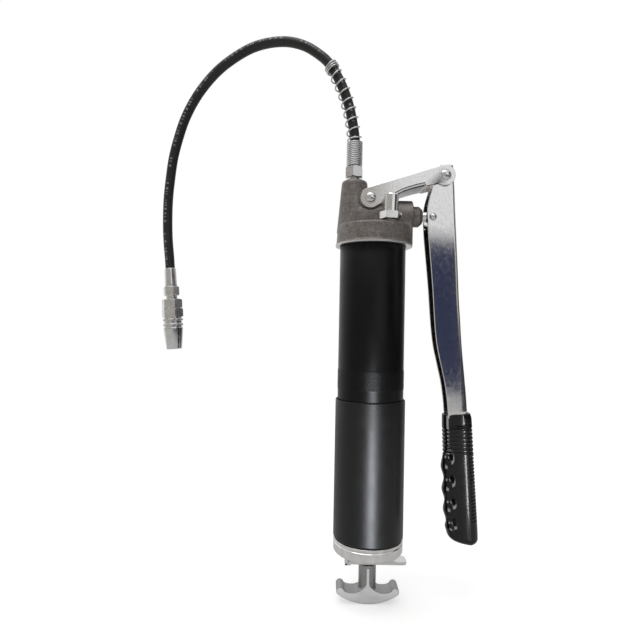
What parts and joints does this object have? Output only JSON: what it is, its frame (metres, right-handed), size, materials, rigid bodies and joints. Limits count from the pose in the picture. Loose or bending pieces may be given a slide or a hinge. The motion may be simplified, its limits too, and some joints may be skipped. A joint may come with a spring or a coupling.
{
  "type": "lever grease gun",
  "caption": "Hand-lever grease gun: cylindrical barrel with T-handle follower rod, cast pump head, channel lever with moulded grip, and a whip hose with a hydraulic coupler.",
  "frame": {"origin": "on the barrel's axis, half way up the grip sleeve, where a hand or a clip holds the gun", "axes": "+Z along the barrel towards the pump head, +X towards the lever, -X towards the side where the hose hangs"},
  "size_m": [0.2922, 0.085, 0.4975],
  "materials": {
    "cast_head": "fine sand-cast, blasted",
    "black_gloss": "gloss black enamel",
    "black_satin": "satin black powder coat",
    "polished_steel": "polished sheet steel",
    "chrome": "bright chrome plate",
    "zinc": "bright zinc plate",
    "steel": "turned steel",
    "cast_aluminium": "tumbled die casting, face ground bright",
    "spring_steel": "bright wire",
    "brass": "turned",
    "seal_rubber": "nitrile rubber",
    "hose_rubber": "smooth rubber cover",
    "grip_plastic": "gloss black moulding"
  },
  "bodies": {
    "gun_body": {"head_casting": "cast_head", "head_gasket": "seal_rubber", "barrel_tube": "black_gloss", "grip_sleeve": "black_satin", "end_cap": "polished_steel", "rod_bushing": "brass", "latch_spring": "spring_steel", "follower_spring": "spring_steel", "plunger_packing": "seal_rubber", "packing_nut": "cast_head", "outlet_spring": "spring_steel", "bleeder_body": "zinc", "bleeder_plug": "steel", "bleeder_spring": "spring_steel", "hose_fitting": "zinc", "spring_guard": "spring_steel", "hose": "hose_rubber", "coupler_stem": "zinc", "coupler_body": "zinc", "coupler_sleeve": "zinc", "coupler_check_spring": "spring_steel", "coupler_spring": "spring_steel"},
    "link": {"link": "chrome", "fulcrum_pin": "zinc", "lever_pin": "zinc"},
    "lever": {"lever": "chrome", "plunger_pin": "zinc", "lever_grip": "grip_plastic"},
    "plunger": {"plunger": "chrome"},
    "follower": {"follower_cup": "seal_rubber", "follower_plate_lower": "steel", "follower_plate_upper": "steel", "follower_nut": "zinc"},
    "rod": {"follower_rod": "steel", "t_handle": "cast_aluminium"},
    "latch": {"latch_plate": "zinc"},
    "bleeder_button": {"bleeder_pin": "steel"},
    "outlet_check": {"outlet_ball": "steel"},
    "coupler_jaws": {"coupler_jaws": "steel", "seal_washer": "steel", "coupler_seal": "seal_rubber"},
    "coupler_check": {"coupler_ball": "steel"}
  },
  "joints": [
    {"name": "link_swing", "type": "hinge", "parent": "gun_body", "child": "link", "pos_m": [-0.004, 0, 0.232], "axis": [0, -1, 0], "range_deg": [-2, 0]},
    {"name": "lever_swing", "type": "hinge", "parent": "link", "child": "lever", "pos_m": [0.0597, 0, 0.2525], "axis": [0, -1, 0], "range_deg": [0, 45]},
    {"name": "plunger_slide", "type": "slide", "parent": "gun_body", "child": "plunger", "axis": [1, 0, 0], "range_m": [0, 0.03]},
    {"name": "rod_pull", "type": "slide", "parent": "gun_body", "child": "follower", "axis": [0, 0, -1], "range_m": [0, 0.2], "stiffness_N_per_m": 350, "springref_m": -0.06, "deforming": ["follower_spring"]},
    {"name": "rod_turn", "type": "hinge", "parent": "follower", "child": "rod", "pos_m": [0, 0, -0.09], "axis": [0, 0, 1], "continuous": true},
    {"name": "latch_press", "type": "hinge", "parent": "gun_body", "child": "latch", "pos_m": [-0.01575, 0, -0.08045], "axis": [0, -1, 0], "range_deg": [0, 5], "stiffness_Nm_per_rad": 0.4, "springref_deg": -11.46, "deforming": ["latch_spring"]},
    {"name": "bleeder_press", "type": "slide", "parent": "gun_body", "child": "bleeder_button", "axis": [-0.0349, 0, -0.9994], "range_m": [0, 0.002], "stiffness_N_per_m": 500, "springref_m": -0.002, "deforming": ["bleeder_spring"]},
    {"name": "outlet_check_lift", "type": "slide", "parent": "gun_body", "child": "outlet_check", "axis": [0, 0, 1], "range_m": [0, 0.0015], "stiffness_N_per_m": 100, "springref_m": -0.003, "deforming": ["outlet_spring"]},
    {"name": "coupler_jaw_slide", "type": "slide", "parent": "gun_body", "child": "coupler_jaws", "axis": [-0.0767, 0, 0.9971], "range_m": [0, 0.002], "stiffness_N_per_m": 1000, "springref_m": -0.002, "deforming": ["coupler_spring"]},
    {"name": "coupler_check_lift", "type": "slide", "parent": "gun_body", "child": "coupler_check", "axis": [0.0767, 0, -0.9971], "range_m": [0, 0.0012], "stiffness_N_per_m": 50, "springref_m": -0.003, "deforming": ["coupler_check_spring"]}
  ],
  "couplings": [
    {"joint": "link_swing", "follows": "lever_swing", "ratio": -0.023},
    {"joint": "plunger_slide", "follows": "lever_swing", "m_per_rad": 0.0355}
  ]
}
